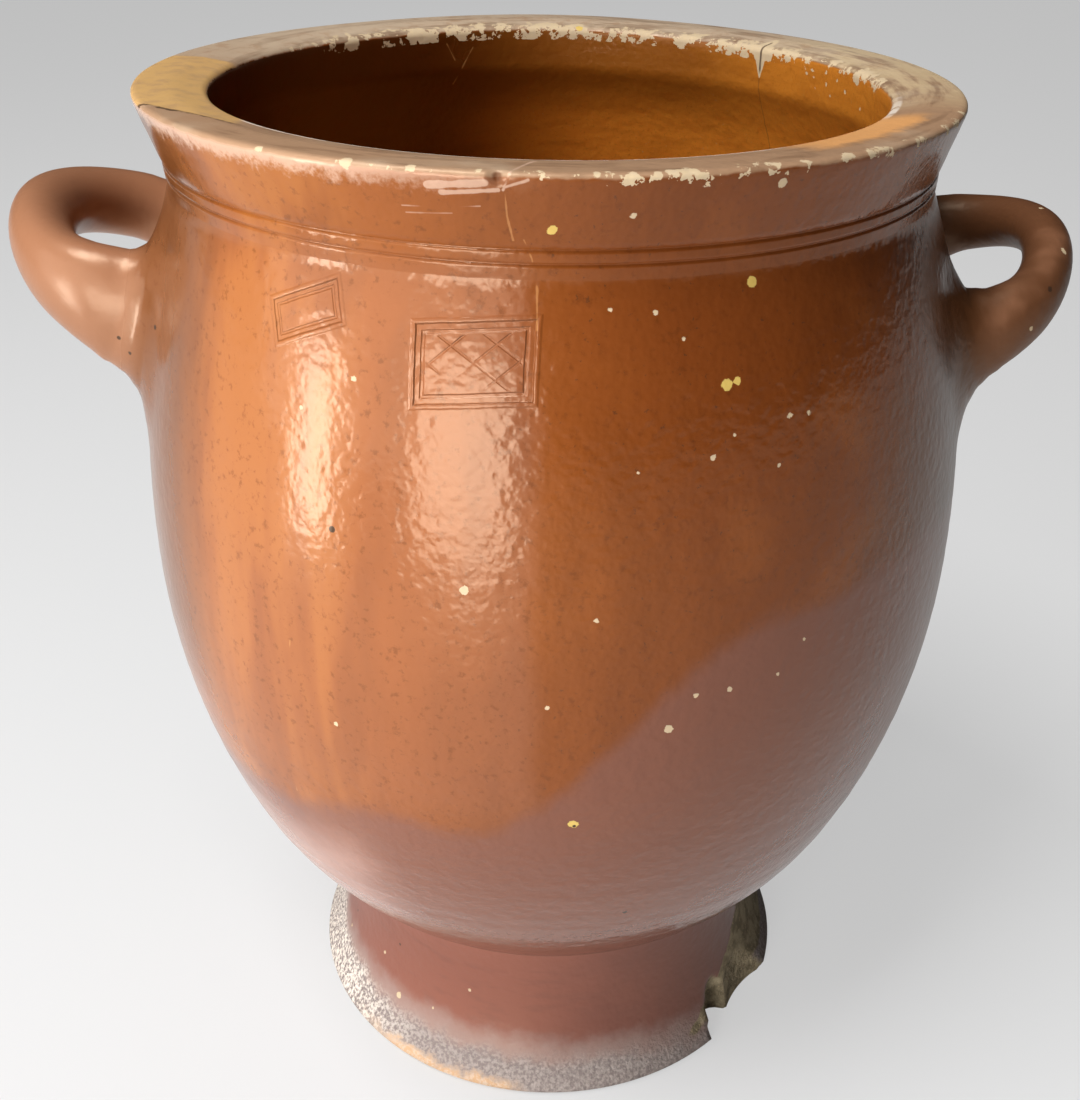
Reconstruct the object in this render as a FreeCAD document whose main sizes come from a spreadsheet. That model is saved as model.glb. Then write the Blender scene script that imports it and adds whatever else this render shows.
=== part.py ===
import FreeCAD, Part
import math
import os
import re

import Sketcher

# A two-handled stoneware confit pot, thrown and fired in one piece.
# Millimetres and degrees. +Z is up, the ground is Z = 0 and the pot's axis is the Z axis.
# The handles lie along X, and someone who looks at the front of the pot stands at -Y.
sizes = {
    # Mouth, rim and collar, each counted from the one before
    "potHeight": 469,
    "mouthRadius": 137,
    "rimWidth": 29.5,
    "rimDepth": 22,
    "collarHeight": 25,
    "collarFlare": 8.1,
    "rimRound": 3.5,
    "mouthRound": 3,
    # Turned double line under the collar
    "lineDepth": 1.6,
    "lineSpacing": 5,
    "lineDrop": 0.5,
    # Outside of the body: the neck is placed from the rim, the bowl and belly from the waist
    "neckStep": 0.9,
    "neckDrop": 36,
    "bellyRadius": 184,
    "bellyRise": 194,
    "lowerArcRadius": 324,
    "bowlRise": 71,
    "waistRadius": 106,
    "waistHeight": 79,
    # Foot
    "baseRadius": 127.5,
    "footArcRadius": 140,
    "baseBevel": 2.5,
    # Inside
    "wall": 12,
    "footWall": 18,
    "floorThickness": 22,
    "wellRise": 3,
    "floorRound": 20,
    "throatDrop": 8,
    "throatRound": 7,
    # Handles: a coil of clay bent to an ear, higher at the bend than at its two roots
    "rightDrop": 43,
    "rightStandOff": 56,
    "rightBendDepth": 34,
    "rightSpread": 47,
    "rightRise": 13,
    "rightSkew": 8,
    "rightCoil": 20,
    "rightNearRoot": 45,
    "rightFarRoot": 42,
    "rightRootDrop": 13,
    "leftDrop": 49,
    "leftStandOff": 62,
    "leftBendDepth": 38,
    "leftSpread": 51,
    "leftRise": 25,
    "leftSkew": 1.5,
    "leftCoil": 26,
    "leftNearRoot": 60,
    "leftFarRoot": 36,
    "leftRootDrop": 5,
    "handleShift": 4,
    "coilTallness": 1.1,
    "armFlare": 0.42,
    "rootWiden": 1,
    "rootStandOff": 10,
    # Broken lip of the foot: a long shell-shaped flake and a short step beside it
    "flakeAngle": -31,
    "flakeLength": 36,
    "flakeDepth": 8.5,
    "flakeThickness": 20,
    "flakeHeight": 62,
    "flakeLean": 14,
    "stepAngle": -41.5,
    "stepLength": 11,
    "stepDepth": 16,
    "stepThickness": 15,
    "stepHeight": 34,
    "stepLean": 10,
}

# What follows from the sizes
derived = {
    "rimRadius": "mouthRadius + rimWidth",
    "collarFootRadius": "rimRadius - collarFlare",
    "collarFootHeight": "potHeight - collarHeight",
    "neckRadius": "collarFootRadius - neckStep",
    "neckHeight": "potHeight - neckDrop",
    "bellyHeight": "waistHeight + bellyRise",
    "bowlTopHeight": "waistHeight + bowlRise",
    "rightHeight": "neckHeight - rightDrop",
    "leftHeight": "neckHeight - leftDrop",
}

handleStations = [-90, -45, 0, 45, 90]  # angles round a handle's half ellipse
handleBand = [0.48, 0.84]  # the shoulder's face is split here, so that the handles meet one strip
overshoot = 6  # the cavity's outline passes this far above the rim
edgeTolerance = 0.01
nodeName = "confit_pot"


def addSheet(doc):
    sheet = doc.addObject("Spreadsheet::Sheet", "Sizes")
    contents = {name: str(size) for name, size in sizes.items()}
    contents.update({name: f"={text}" for name, text in derived.items()})
    for row, (name, content) in enumerate(contents.items(), start=1):
        sheet.set(f"A{row}", name)
        sheet.setAlias(f"B{row}", name)
        sheet.set(f"B{row}", content)
    doc.recompute()
    return sheet


def onSheet(text):
    """Puts the sheet's name before each size that an expression names."""
    names = sizes | derived
    return re.sub(r"[A-Za-z]\w*", lambda word: f"Sizes.{word[0]}" if word[0] in names else word[0], text)


def value(text):
    """The number that an expression on the sizes gives."""
    return float(FreeCAD.ActiveDocument.Sizes.evalExpression(onSheet(text)))


def bind(thing, prop, text):
    thing.setExpression(prop, onSheet(text))


def originPlane(body, role):
    return next(plane for plane in body.Origin.OriginFeatures if plane.Role == role)


def addSketch(body, name):
    """A sketch on the body's upright XZ plane, where X is a radius and Y a height."""
    sketch = body.newObject("Sketcher::SketchObject", name)
    sketch.AttachmentSupport = [(originPlane(body, "XZ_Plane"), "")]
    sketch.MapMode = "FlatFace"
    return sketch


def addSize(sketch, kind, text, *where):
    """Adds a driving constraint and binds it to an expression on the sizes."""
    index = sketch.addConstraint(Sketcher.Constraint(kind, *where, value(text)))
    bind(sketch, f"Constraints[{index}]", text)


def placePoint(sketch, geometry, position, radius, height):
    """Ties a point of the sketch to a radius and a height. None leaves that one free."""
    if radius == "0":
        sketch.addConstraint(Sketcher.Constraint("PointOnObject", geometry, position, -2))
    elif radius:
        addSize(sketch, "DistanceX", radius, -1, 1, geometry, position)
    if height == "0":
        sketch.addConstraint(Sketcher.Constraint("PointOnObject", geometry, position, -1))
    elif height:
        addSize(sketch, "DistanceY", height, -1, 1, geometry, position)


def arcThrough(start, end, centre):
    """The short arc about a centre from start to end."""
    middle = (start + end) * 0.5 - centre
    middle.normalize()
    return Part.Arc(start, centre + middle * (start - centre).Length, end)


def drawOutline(sketch, corners):
    """Draws a closed outline and returns each side's geometry index and end positions.

    Each corner is (radius, height, point, centre): two expressions, where the corner is now,
    and the centre of the arc that leaves it, or None for a line. Where the radius is None
    the two arcs that meet there are tangent, which settles it."""
    sides = []
    for index, (_, _, start, centre) in enumerate(corners):
        end = corners[(index + 1) % len(corners)][2]
        curve = arcThrough(start, end, centre) if centre else Part.LineSegment(start, end)
        geometry = sketch.addGeometry(curve, False)
        forward = sketch.getPoint(geometry, 1).isEqual(start, edgeTolerance)
        sides.append((geometry, 1, 2) if forward else (geometry, 2, 1))
    for index, (geometry, first, _) in enumerate(sides):
        radius, height = corners[index][:2]
        before, _, last = sides[index - 1]
        meeting = "Coincident" if radius else "Tangent"
        sketch.addConstraint(Sketcher.Constraint(meeting, before, last, geometry, first))
        placePoint(sketch, geometry, first, radius, height)
    return sides


def point(radius, height):
    """A sketch point from two expressions or numbers."""
    numbers = [value(item) if isinstance(item, str) else item for item in (radius, height)]
    return FreeCAD.Vector(numbers[0], numbers[1], 0)


def bellyCentre(start, belly):
    """Centre, level with the belly, of the arc through the belly point and another point."""
    rise = start.y - belly.y
    inset = belly.x - start.x
    return FreeCAD.Vector(belly.x - (rise**2 + inset**2) / (2 * inset), belly.y, 0)


def pointOnArc(belly, radius, height):
    """The point at a height on an arc that leaves the belly upright, and that arc's centre."""
    centre = FreeCAD.Vector(belly.x - radius, belly.y, 0)
    across = math.sqrt(radius**2 - (belly.y - height) ** 2)
    return FreeCAD.Vector(centre.x + across, height, 0), centre


def bowlCentre(start, lowerCentre, end):
    """Centre of the arc that leaves start tangent to the lower arc and ends at end."""
    inward = lowerCentre - start
    inward.normalize()
    chord = end - start
    return start + inward * (chord.Length**2 / (2 * chord.dot(inward)))


def addOutside(body):
    """The solid turned shape of rim, collar, body and foot.

    The shoulder is one arc in three lengths, so that the handles meet only the middle band."""
    belly = point("bellyRadius", "bellyHeight")
    neck = point("neckRadius", "neckHeight")
    waist = point("waistRadius", "waistHeight")
    base = point("baseRadius", "baseBevel")
    bowlTop, lowerCentre = pointOnArc(belly, value("lowerArcRadius"), value("bowlTopHeight"))
    footChord = base - waist
    footBow = math.sqrt(value("footArcRadius") ** 2 - footChord.Length**2 / 4)
    outward = FreeCAD.Vector(-footChord.y, footChord.x, 0).normalize()
    shoulderCentre = bellyCentre(neck, belly)
    shoulderRadius = belly.x - shoulderCentre.x
    bandHeights = [f"bellyHeight + {share} * (neckHeight - bellyHeight)" for share in handleBand]
    bandEdges = [pointOnArc(belly, shoulderRadius, value(height))[0] for height in bandHeights]
    corners = [
        ("0", "0", point(0, 0), None),
        ("baseRadius - baseBevel", "0", point("baseRadius - baseBevel", 0), None),
        ("baseRadius", "baseBevel", base, (waist + base) * 0.5 + outward * footBow),
        ("waistRadius", "waistHeight", waist, bowlCentre(bowlTop, lowerCentre, waist)),
        (None, "bowlTopHeight", bowlTop, lowerCentre),
        ("bellyRadius", "bellyHeight", belly, shoulderCentre),
        (None, bandHeights[0], bandEdges[0], shoulderCentre),
        (None, bandHeights[1], bandEdges[1], shoulderCentre),
        ("neckRadius", "neckHeight", neck, None),
        ("collarFootRadius", "collarFootHeight", point("collarFootRadius", "collarFootHeight"), None),
        ("rimRadius", "potHeight", point("rimRadius", "potHeight"), None),
        ("mouthRadius", "potHeight", point("mouthRadius", "potHeight"), None),
        ("0", "potHeight", point(0, "potHeight"), None),
    ]
    sketch = addSketch(body, "OutsideOutline")
    sides = drawOutline(sketch, corners)
    foot, _, lower, *shoulder = sides[2:8]
    addSize(sketch, "Radius", "footArcRadius", foot[0])
    addSize(sketch, "Radius", "lowerArcRadius", lower[0])
    for arc in (lower, *shoulder):
        addSize(sketch, "DistanceY", "bellyHeight", -1, 1, arc[0], 3)
    turned = body.newObject("PartDesign::Revolution", "Outside")
    turned.Profile = sketch
    turned.ReferenceAxis = (sketch, ["V_Axis"])
    turned.Angle = 360


def addCollarLines(body):
    """Two fine turned lines, V-shaped in section, where the collar meets the body."""
    skin = "(collarFootRadius + neckRadius) / 2"
    upper = "collarFootHeight - lineDrop"
    for name, height in (("UpperLine", upper), ("LowerLine", f"{upper} - lineSpacing")):
        sketch = addSketch(body, f"{name}Outline")
        corners = [
            (f"{skin} - lineDepth", height),
            (f"{skin} + lineDepth", f"{height} - 2 * lineDepth"),
            (f"{skin} + lineDepth", f"{height} + 2 * lineDepth"),
        ]
        drawOutline(sketch, [(radius, level, point(radius, level), None) for radius, level in corners])
        turnedCut(body, name, sketch)


def turnedCut(body, name, sketch):
    cut = body.newObject("PartDesign::Groove", name)
    cut.Profile = sketch
    cut.ReferenceAxis = (sketch, ["V_Axis"])
    cut.Angle = 360


def addCavity(body):
    """The hollow: mouth, throat, belly and the well that goes down into the foot."""
    belly = point("bellyRadius - wall", "bellyHeight")
    neck = point("neckRadius - wall", "neckHeight - throatDrop")
    wellTop = point("waistRadius - footWall", "waistHeight + wellRise")
    top = value("potHeight") + overshoot
    bowlTop, lowerCentre = pointOnArc(belly, value("lowerArcRadius - wall"), value("bowlTopHeight"))
    corners = [
        ("0", "floorThickness", point(0, "floorThickness"), None),
        ("waistRadius - footWall", "floorThickness",
         point("waistRadius - footWall", "floorThickness"), None),
        ("waistRadius - footWall", "waistHeight + wellRise", wellTop,
         bowlCentre(bowlTop, lowerCentre, wellTop)),
        (None, "bowlTopHeight", bowlTop, lowerCentre),
        ("bellyRadius - wall", "bellyHeight", belly, bellyCentre(neck, belly)),
        ("neckRadius - wall", "neckHeight - throatDrop", neck, None),
        ("mouthRadius", "potHeight - rimDepth", point("mouthRadius", "potHeight - rimDepth"), None),
        ("mouthRadius", f"potHeight + {overshoot}", point("mouthRadius", top), None),
        ("0", f"potHeight + {overshoot}", point(0, top), None),
    ]
    sketch = addSketch(body, "CavityOutline")
    sides = drawOutline(sketch, corners)
    lower, shoulder = sides[3:5]
    addSize(sketch, "Radius", "lowerArcRadius - wall", lower[0])
    addSize(sketch, "DistanceY", "bellyHeight", -1, 1, lower[0], 3)
    addSize(sketch, "DistanceY", "bellyHeight", -1, 1, shoulder[0], 3)
    turnedCut(body, "Cavity", sketch)


def roundRing(body, name, size, radius, height):
    """Rounds the ring-shaped edge that has this radius and height."""
    body.Document.recompute()
    shape = body.Tip.Shape
    names = []
    for number, edge in enumerate(shape.Edges, start=1):
        if not isinstance(edge.Curve, Part.Circle):
            continue
        gap = abs(edge.Curve.Radius - value(radius)) + abs(edge.Curve.Center.z - value(height))
        if gap < edgeTolerance:
            names.append(f"Edge{number}")
    base = body.Tip
    fillet = body.newObject("PartDesign::Fillet", name)
    fillet.Base = (base, names)
    bind(fillet, "Radius", size)


def addHandleSection(body, name, side, angle, end=None):
    """One oval section of a handle, upright and square to the handle's half ellipse.

    side is "right" or "left". end is None on the half ellipse, "surface" where the arm meets
    the pot's skin and "inside" where it ends in the hollow, to be trimmed by the cavity."""
    outward = 1 if side == "right" else -1
    across = round(math.sin(math.radians(angle)), 6)
    out = round(math.cos(math.radians(angle)), 6)
    flare = "1" if end else f"armFlare * {round(across**2, 6)}"
    root = f"{side}NearRoot" if angle < 0 else f"{side}FarRoot"
    coil = f"{side}Coil"
    width = f"{coil} + rootWiden * {flare}"
    height = f"{coil} * coilTallness + ({root} - {coil} * coilTallness) * {flare}"
    reach = f"neckRadius + {side}StandOff - {side}BendDepth * (1 - {out})"
    if end == "surface":
        reach = f"sqrt((neckRadius + rootStandOff) ^ 2 - {side}Spread ^ 2)"
    if end == "inside":
        reach = f"sqrt((neckRadius - wall) ^ 2 - ({side}Spread + {coil}) ^ 2)"
    level = f"{side}Height + {side}Rise * {out} + {side}Skew * {across} - {side}RootDrop * {flare}"
    depth = f"-({side}Spread * {across} + handleShift)"
    turn = f"atan2({side}BendDepth * {across}; {side}Spread * {out})"
    if outward < 0:
        turn = f"180 deg - {turn}"
    sketch = addSketch(body, name)
    place = f"vector({outward} * ({reach}); {level}; {depth})"
    bind(sketch, "AttachmentOffset", f"placement({place}; rotation(vector(0; 1; 0); {turn}))")
    tall = FreeCAD.Vector(0, value(height) / 2, 0)
    wide = FreeCAD.Vector(value(width) / 2, 0, 0)
    oval = sketch.addGeometry(Part.Ellipse(tall, wide, FreeCAD.Vector()), False)
    sketch.exposeInternalGeometry(oval)
    longAxis, shortAxis = oval + 1, oval + 2
    sketch.addConstraint(Sketcher.Constraint("Vertical", longAxis))
    sketch.addConstraint(Sketcher.Constraint("Coincident", oval, 3, -1, 1))
    addSize(sketch, "Distance", height, longAxis)
    addSize(sketch, "Distance", width, shortAxis)
    return sketch


def addHandle(body, side):
    """A handle drawn through its sections, thicker at its roots and pressed down onto the body."""
    name = f"{side.capitalize()}Handle"
    first, last = handleStations[0], handleStations[-1]
    stops = [("NearInside", first, "inside"), ("NearSurface", first, "surface")]
    stops += [(f"Section{number}", angle, None) for number, angle in enumerate(handleStations, start=1)]
    stops += [("FarSurface", last, "surface"), ("FarInside", last, "inside")]
    sections = [addHandleSection(body, name + place, side, angle, end) for place, angle, end in stops]
    loft = body.newObject("PartDesign::AdditiveLoft", name)
    loft.Profile = sections[0]
    loft.Sections = sections[1:]


def addFlake(body, name, angle, length, depth, thickness, height, lean):
    """Breaks a shell-shaped flake off the lip of the foot."""
    flake = body.newObject("PartDesign::SubtractiveEllipsoid", name)
    flake.AttachmentSupport = [(originPlane(body, "XY_Plane"), "")]
    flake.MapMode = "FlatFace"
    away = f"(baseRadius - {depth} + {thickness})"
    centre = f"vector({away} * cos({angle}); {away} * sin({angle}); 0)"
    turn = f"rotation(vector(0; 0; 1); {angle}) * rotation(vector(0; 1; 0); -{lean})"
    bind(flake, "AttachmentOffset", f"placement({centre}; {turn})")
    flake.Angle1 = -90
    flake.Angle2 = 90
    flake.Angle3 = 360
    bind(flake, "Radius1", height)
    bind(flake, "Radius2", thickness)
    bind(flake, "Radius3", length)


def addPot(doc):
    body = doc.addObject("PartDesign::Body", "ConfitPot")
    body.Label = nodeName
    addOutside(body)
    roundRing(body, "RimRound", "rimRound", "rimRadius", "potHeight")
    addCollarLines(body)
    addHandle(body, "right")
    addHandle(body, "left")
    addCavity(body)
    roundRing(body, "FloorRound", "floorRound", "waistRadius - footWall", "floorThickness")
    roundRing(body, "ThroatRound", "throatRound", "mouthRadius", "potHeight - rimDepth")
    roundRing(body, "MouthRound", "mouthRound", "mouthRadius", "potHeight")
    addFlake(body, "FootFlake", "flakeAngle", "flakeLength", "flakeDepth", "flakeThickness",
             "flakeHeight", "flakeLean")
    addFlake(body, "FootStep", "stepAngle", "stepLength", "stepDepth", "stepThickness",
             "stepHeight", "stepLean")
    doc.recompute()
    return body


def checkModel(doc, bodies):
    for thing in doc.Objects:
        bad = [state for state in thing.State if state in ("Invalid", "Error")]
        if bad:
            raise RuntimeError(f"{thing.Name} is {bad[0]}")
    for body in bodies:
        if body.Shape.isNull() or not body.Shape.isValid():
            raise RuntimeError(f"{body.Label} has no valid shape")
        box = body.Shape.optimalBoundingBox(False, False)
        print(body.Label, "solids", len(body.Shape.Solids), "faces", len(body.Shape.Faces),
              "volume", round(body.Shape.Volume), box)


def main():
    doc = FreeCAD.newDocument("ConfitPot")
    addSheet(doc)
    bodies = [addPot(doc)]
    checkModel(doc, bodies)
    os.makedirs("parts", exist_ok=True)
    for body in bodies:
        body.Shape.exportStep(f"parts/{body.Label}.step")


main()
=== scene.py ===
import math

import bmesh
import bpy
import numpy as np
from mathutils import Matrix, Vector
from mathutils.bvhtree import BVHTree


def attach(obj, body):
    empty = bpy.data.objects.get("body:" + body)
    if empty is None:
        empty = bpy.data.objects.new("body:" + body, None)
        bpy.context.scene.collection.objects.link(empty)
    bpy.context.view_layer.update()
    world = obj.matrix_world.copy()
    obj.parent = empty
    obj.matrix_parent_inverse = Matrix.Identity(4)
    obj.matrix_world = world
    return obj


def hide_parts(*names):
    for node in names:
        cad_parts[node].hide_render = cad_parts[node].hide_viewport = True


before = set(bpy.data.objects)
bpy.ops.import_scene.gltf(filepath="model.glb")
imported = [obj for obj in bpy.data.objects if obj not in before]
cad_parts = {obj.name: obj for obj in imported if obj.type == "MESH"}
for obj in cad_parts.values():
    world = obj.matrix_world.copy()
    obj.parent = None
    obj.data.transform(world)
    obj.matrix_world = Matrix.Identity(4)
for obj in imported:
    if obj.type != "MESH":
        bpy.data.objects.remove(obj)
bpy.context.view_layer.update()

mm = 0.001

# The camera that the rings of the pot give: lengths in metres, places in the photo in pixels.
view = {
    "photoSize": (1080, 1100),
    "middle": (552.0, 549.9),
    "focal": 1299.0,
    "place": (0.0, -0.559, 0.5646),
    "pitch": 29.82,
    "roll": 0.55,
}


def addCamera():
    width, height = view["photoSize"]
    data = bpy.data.cameras.new("Camera")
    data.sensor_width = 36
    data.lens = view["focal"] * data.sensor_width / height
    data.shift_x = (width / 2 - view["middle"][0]) / height
    data.clip_start = 0.01
    camera = bpy.data.objects.new("Camera", data)
    turn = Matrix.Rotation(math.radians(90 - view["pitch"]), 4, "X")
    turn = turn @ Matrix.Rotation(math.radians(view["roll"]), 4, "Z")
    camera.matrix_world = Matrix.Translation(view["place"]) @ turn
    bpy.context.scene.collection.objects.link(camera)
    bpy.context.scene.camera = camera
    bpy.context.view_layer.update()
    return camera


camera = addCamera()


def photoRay(across, down):
    # Where a pixel of the photo looks from and to.
    side = (across - view["middle"][0]) / view["focal"]
    up = (view["middle"][1] - down) / view["focal"]
    matrix = camera.matrix_world
    return matrix.translation, (matrix.to_3x3() @ Vector((side, up, -1))).normalized()


# Pot: turned form in millimetres, as in the CAD source.
potForm = {
    "height": 469, "rimRadius": 166.5, "rimRound": 3.5,
    "mouthRadius": 137, "mouthRound": 3, "rimDepth": 22,
    "collarHeight": 25, "collarFoot": 158.4,
    "neckRadius": 157.5, "neckHeight": 433,
    "bellyRadius": 184, "bellyHeight": 273,
    "lowerArc": 324, "lowerEnd": 150,
    "waistRadius": 106, "waistHeight": 79,
    "baseRadius": 127.5, "baseBevel": 2.5, "footArc": 140,
    "wall": 12, "footWall": 18, "floor": 22, "wellRise": 3, "floorRound": 20, "throatDrop": 8,
    "grooves": (443.2, 438.4), "grooveDepth": 0.85, "grooveWidth": 0.5,
    "rimFall": 2.2, "rimFallWidth": 16,
    "columns": 350,
}

handleForm = {
    "right": {
        "side": 1, "standOff": 56, "depth": 34, "spread": 47, "shift": 4,
        "level": (369, 383, 403, 397, 385), "tall": (47, 31, 22, 26, 42), "wide": (30, 23, 20, 22, 26),
    },
    "left": {
        "side": -1, "standOff": 62, "depth": 38, "spread": 51, "shift": 4,
        "level": (378, 393, 409, 400, 380), "tall": (60, 40, 29, 30, 36), "wide": (32, 28, 26, 27, 30),
    },
    "arm": 0.16, "rings": 72, "sides": 48, "seat": 6, "weld": 16,
}


def ringPoint(radius, height):
    return Vector((radius, 0, height))


def arcRow(start, end, centre, step):
    # Points along the short arc from start up to, but without, end.
    first = math.atan2(start.z - centre.z, start.x - centre.x)
    turn = math.atan2(end.z - centre.z, end.x - centre.x) - first
    turn = (turn + math.pi) % (2 * math.pi) - math.pi
    radius = (start - centre).length
    count = max(1, round(abs(turn) * radius / step))
    angles = [first + turn * index / count for index in range(count)]
    return [centre + radius * Vector((math.cos(angle), 0, math.sin(angle))) for angle in angles]


def lineRow(start, end, step):
    count = max(1, round((end - start).length / step))
    return [start.lerp(end, index / count) for index in range(count)]


def sideCentre(start, belly):
    inset, rise = belly.x - start.x, start.z - belly.z
    return ringPoint(belly.x - (rise**2 + inset**2) / (2 * inset), belly.z)


def bowlArc(belly, radius, height, end, step):
    # The arc from the belly down to a height, and the one that leaves it smoothly down to end.
    centre = ringPoint(belly.x - radius, belly.z)
    meeting = ringPoint(centre.x + math.sqrt(radius**2 - (belly.z - height) ** 2), height)
    inward = (centre - meeting).normalized()
    chord = end - meeting
    low = meeting + inward * (chord.length_squared / (2 * chord.dot(inward)))
    return arcRow(belly, meeting, centre, step) + arcRow(meeting, end, low, step)


def outsideRow():
    form = potForm
    base = ringPoint(form["baseRadius"], form["baseBevel"])
    waist = ringPoint(form["waistRadius"], form["waistHeight"])
    belly = ringPoint(form["bellyRadius"], form["bellyHeight"])
    neck = ringPoint(form["neckRadius"], form["neckHeight"])
    collar = ringPoint(form["collarFoot"], form["height"] - form["collarHeight"])
    rim = ringPoint(form["rimRadius"], form["height"])
    chord = base - waist
    bow = math.sqrt(form["footArc"] ** 2 - chord.length_squared / 4)
    outward = Vector((-chord.z, 0, chord.x)).normalized()
    row = lineRow(ringPoint(0, 0), ringPoint(base.x - form["baseBevel"], 0), 21)
    row += lineRow(ringPoint(base.x - form["baseBevel"], 0), base, 1.2)
    row += arcRow(base, waist, (waist + base) / 2 + outward * bow, 2.4)
    row += bowlArc(belly, form["lowerArc"], form["lowerEnd"], waist, 4.2)[::-1]
    row += arcRow(belly, neck, sideCentre(neck, belly), 3.8)[1:]
    row += lineRow(neck, collar, 0.42)
    edge = (rim - collar).normalized()
    roundStart = rim - edge * form["rimRound"]
    roundEnd = rim - Vector((form["rimRound"], 0, 0))
    row += lineRow(collar, roundStart, 2.2)
    row += [roundStart.lerp(rim, t).lerp(rim.lerp(roundEnd, t), t) for t in (0, 0.2, 0.4, 0.6, 0.8)]
    mouth = ringPoint(form["mouthRadius"] + form["mouthRound"], form["height"])
    return row + lineRow(roundEnd, mouth, 2.2)


def insideRow():
    form = potForm
    edge = ringPoint(form["mouthRadius"], form["height"])
    mouthRound = form["mouthRound"]
    belly = ringPoint(form["bellyRadius"] - form["wall"], form["bellyHeight"])
    neck = ringPoint(form["neckRadius"] - form["wall"], form["neckHeight"] - form["throatDrop"])
    throat = ringPoint(form["mouthRadius"], form["height"] - form["rimDepth"])
    well = ringPoint(form["waistRadius"] - form["footWall"], form["waistHeight"] + form["wellRise"])
    corner = ringPoint(well.x, form["floor"])
    radius = form["floorRound"]
    row = arcRow(edge + Vector((mouthRound, 0, 0)), edge - Vector((0, 0, mouthRound)),
                 edge + Vector((mouthRound, 0, -mouthRound)), 1.0)
    row += lineRow(edge - Vector((0, 0, mouthRound)), throat, 2.8)
    row += lineRow(throat, neck, 3.5)
    row += arcRow(neck, belly, sideCentre(neck, belly), 11)
    row += bowlArc(belly, form["lowerArc"] - form["wall"], form["lowerEnd"], well, 10)
    row += lineRow(well, corner + Vector((0, 0, radius)), 9)
    row += arcRow(corner + Vector((0, 0, radius)), corner - Vector((radius, 0, 0)),
                  corner + Vector((-radius, 0, radius)), 6)
    row += lineRow(corner - Vector((radius, 0, 0)), ringPoint(0, form["floor"]), 17)
    return row + [ringPoint(0, form["floor"])]


def skinRadius(heights):
    # Radius of the turned outside, without its base, at any heights.
    row = [point for point in outsideRow() if point.z > 0 and point.x > potForm["mouthRadius"] - 40]
    row = [point for point in row if point.z < potForm["height"] - 0.01]
    return np.interp(heights, [point.z for point in row], [point.x for point in row])


def addPotBody():
    bm = bmesh.new()
    points = [bm.verts.new(point * mm) for point in outsideRow() + insideRow()]
    lines = [bm.edges.new(pair) for pair in zip(points, points[1:])]
    bmesh.ops.spin(bm, geom=points + lines, axis=(0, 0, 1), cent=(0, 0, 0), angle=2 * math.pi,
                   steps=potForm["columns"], use_merge=True)
    bmesh.ops.remove_doubles(bm, verts=bm.verts, dist=0.05 * mm)
    bmesh.ops.recalc_face_normals(bm, faces=bm.faces)
    return meshObject(bm, "potBody")


def meshObject(bm, name):
    mesh = bpy.data.meshes.new(name)
    bm.to_mesh(mesh)
    bm.free()
    piece = bpy.data.objects.new(name, mesh)
    bpy.context.scene.collection.objects.link(piece)
    return piece


def smoothAlong(values, place):
    # A smooth curve through evenly spaced values; place runs from 0 to 1.
    place = place * (len(values) - 1)
    index = min(int(place), len(values) - 2)
    part = place - index
    before = values[max(index - 1, 0)]
    start, end = values[index], values[index + 1]
    after = values[min(index + 2, len(values) - 1)]
    leave, arrive = (end - before) / 2, (after - start) / 2
    square, cube = part**2, part**3
    return (start * (2 * cube - 3 * square + 1) + leave * (cube - 2 * square + part)
            + end * (3 * square - 2 * cube) + arrive * (cube - square))


def handleStation(form, place):
    # Centre, height and width of a handle's coil, from near root (0) to far root (1).
    arm = handleForm["arm"]
    turn = math.radians(-90 + 180 * min(max((place - arm) / (1 - 2 * arm), 0), 1))
    out = potForm["neckRadius"] + form["standOff"] - form["depth"] * (1 - math.cos(turn))
    start = potForm["neckRadius"] + form["standOff"] - form["depth"]
    level = smoothAlong(form["level"], place)
    root = float(skinRadius(level))
    across = form["spread"] * math.sin(turn) + form["shift"]
    seat = math.sqrt(root**2 - across**2) - handleForm["seat"]
    if place < arm:
        out = seat + (start - seat) * place / arm
    if place > 1 - arm:
        out = seat + (start - seat) * (1 - place) / arm
    centre = Vector((form["side"] * out, across, level))
    return centre, smoothAlong(form["tall"], place), smoothAlong(form["wide"], place)


def handlePath(form):
    places = [index / (handleForm["rings"] - 1) for index in range(handleForm["rings"])]
    stations = [handleStation(form, place) for place in places]
    rows = []
    for index, (centre, tall, wide) in enumerate(stations):
        before = stations[max(index - 1, 0)][0]
        after = stations[min(index + 1, len(stations) - 1)][0]
        along = (after - before).normalized()
        flat = Vector((along.x, along.y, 0)).normalized()
        sideways = Vector((flat.y, -flat.x, 0))
        upright = sideways.cross(along)
        if upright.z < 0:
            upright = -upright
        rows.append((centre, along, sideways, upright, tall / 2, wide / 2))
    return rows


def ringEdges(ring):
    members = set(ring)
    return list({edge for vert in ring for edge in vert.link_edges if edge.other_vert(vert) in members})


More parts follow.
